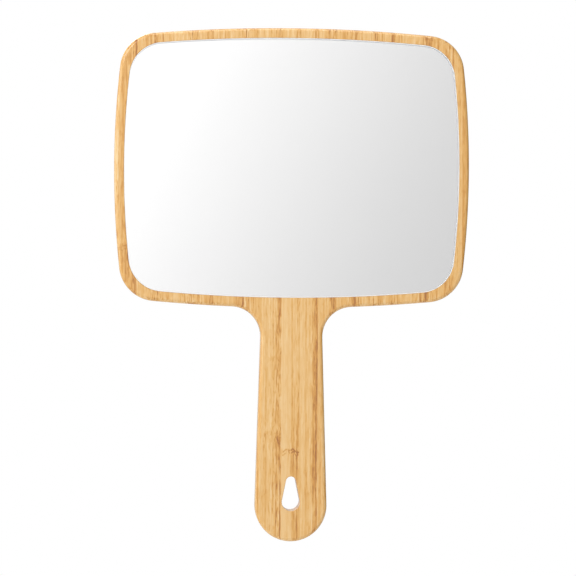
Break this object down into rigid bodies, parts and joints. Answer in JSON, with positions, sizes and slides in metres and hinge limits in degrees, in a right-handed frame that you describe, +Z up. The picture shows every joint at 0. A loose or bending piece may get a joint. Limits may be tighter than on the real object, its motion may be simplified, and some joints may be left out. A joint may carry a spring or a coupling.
{
  "type": "hand mirror",
  "caption": "Salon hand mirror: a flat bamboo paddle with a barrel-shaped glass mirror let into its head, a tapered handle and a pear-shaped hanging hole.",
  "frame": {"origin": "middle of the grip: on the handle's axis, halfway through the board's thickness, 150 mm below the centre of the head", "axes": "+Z up along the handle to the head, +Y out of the wooden back, so the glass faces -Y"},
  "size_m": [0.2, 0.012, 0.2887],
  "materials": {
    "bamboo": "clear satin lacquer",
    "glass": "polished, ground edge",
    "silver": "mirror silver",
    "backing_paint": "matt paint",
    "tape": "matt foam"
  },
  "bodies": {
    "root": {"bamboo_strip_01": "bamboo", "bamboo_strip_02": "bamboo", "bamboo_strip_03": "bamboo", "bamboo_strip_04": "bamboo", "bamboo_strip_05": "bamboo", "bamboo_strip_06": "bamboo", "bamboo_strip_07": "bamboo", "bamboo_strip_08": "bamboo", "bamboo_strip_09": "bamboo", "bamboo_strip_10": "bamboo", "bamboo_strip_11": "bamboo", "bamboo_strip_12": "bamboo", "bamboo_strip_13": "bamboo", "bamboo_strip_14": "bamboo", "bamboo_strip_15": "bamboo", "bamboo_strip_16": "bamboo", "bamboo_strip_17": "bamboo", "bamboo_strip_18": "bamboo", "bamboo_strip_19": "bamboo", "bamboo_strip_20": "bamboo", "bamboo_strip_21": "bamboo", "mirror_glass": "glass", "silver_coating": "silver", "backing_paint": "backing_paint", "mounting_tape_1": "tape", "mounting_tape_2": "tape", "mounting_tape_3": "tape", "mounting_tape_4": "tape"}
  },
  "joints": []
}
